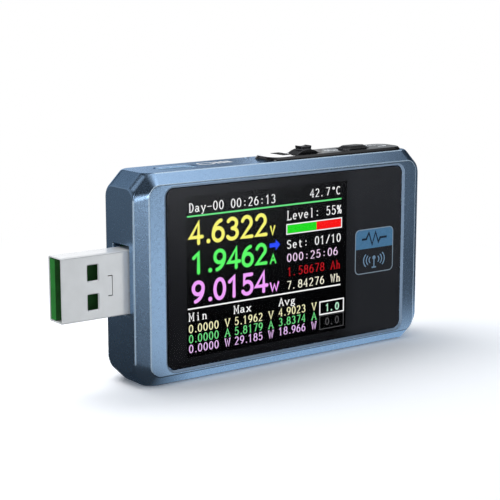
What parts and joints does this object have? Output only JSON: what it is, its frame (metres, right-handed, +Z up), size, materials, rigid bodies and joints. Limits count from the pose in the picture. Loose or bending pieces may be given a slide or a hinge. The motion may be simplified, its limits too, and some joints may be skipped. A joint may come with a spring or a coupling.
{
  "type": "usb power meter",
  "caption": "Slim metal-cased inline USB power meter with a colour display, a USB-A plug at one end, sockets at the other, and a lever and a button on top.",
  "frame": {"origin": "centre of the case's underside", "axes": "+X along the case from the plug end to the socket end, +Y from the display to the back cover, +Z up"},
  "size_m": [0.0845, 0.0132, 0.0421],
  "materials": {
    "case_metal": "blasted and anodised metallic blue, satin, with fine sparkle",
    "bright_steel": "bright plated",
    "screw_steel": "blackened",
    "contact_gold": "gold plated",
    "green_insulator": "smooth moulded",
    "black_plastic": "fine matt",
    "gloss_black": "high gloss",
    "window_glass": "clear over a black print",
    "seal_tape": "matt",
    "display_panel": "polished",
    "backlight_frame": "matt white",
    "ribbon_film": "amber film",
    "board_laminate": "solder mask"
  },
  "bodies": {
    "case": {"front_case": "case_metal", "back_cover": "case_metal", "cover_screw_1": "screw_steel", "cover_screw_2": "screw_steel", "cover_screw_3": "screw_steel", "cover_screw_4": "screw_steel", "display_window": "window_glass", "window_tape": "seal_tape", "lcd_panel": "display_panel", "lcd_backlight": "backlight_frame", "lcd_ribbon": "ribbon_film", "lcd_connector": "black_plastic", "main_board": "board_laminate", "microcontroller": "black_plastic", "metering_chip": "black_plastic", "crystal": "bright_steel", "shunt_resistor": "black_plastic", "power_transistor": "black_plastic", "inductor": "black_plastic", "wireless_module": "bright_steel", "plug_shell": "bright_steel", "plug_insulator": "green_insulator", "plug_contact_1": "contact_gold", "plug_contact_2": "contact_gold", "plug_contact_3": "contact_gold", "plug_contact_4": "contact_gold", "usb_a_socket_shell": "bright_steel", "usb_a_socket_tongue": "black_plastic", "socket_contact_1": "contact_gold", "socket_contact_2": "contact_gold", "socket_contact_3": "contact_gold", "socket_contact_4": "contact_gold", "usb_c_right_shell": "bright_steel", "usb_c_right_tongue": "black_plastic", "usb_c_top_shell": "bright_steel", "usb_c_top_tongue": "black_plastic", "control_plate": "gloss_black", "lever_switch_body": "black_plastic", "tact_switch_body": "black_plastic"},
    "lever_carriage_body": {"lever_carriage": "black_plastic", "lever_pin": "bright_steel"},
    "lever": {"lever_rocker": "black_plastic"},
    "button": {"back_button": "gloss_black", "tact_plunger": "black_plastic"}
  },
  "joints": [
    {"name": "lever_press", "type": "slide", "parent": "case", "child": "lever_carriage_body", "axis": [0, 0, -1], "range_m": [0, 0.0004], "stiffness_N_per_m": 20, "springref_m": -0.001},
    {"name": "lever_rock", "type": "hinge", "parent": "lever_carriage_body", "child": "lever", "pos_m": [0.0076, -0.00065, 0.0366], "axis": [0, 1, 0], "range_deg": [-10, 10], "stiffness_Nm_per_rad": 0.0002},
    {"name": "button_press", "type": "slide", "parent": "case", "child": "button", "axis": [0, 0, -1], "range_m": [0, 0.0004], "stiffness_N_per_m": 20, "springref_m": -0.001}
  ]
}
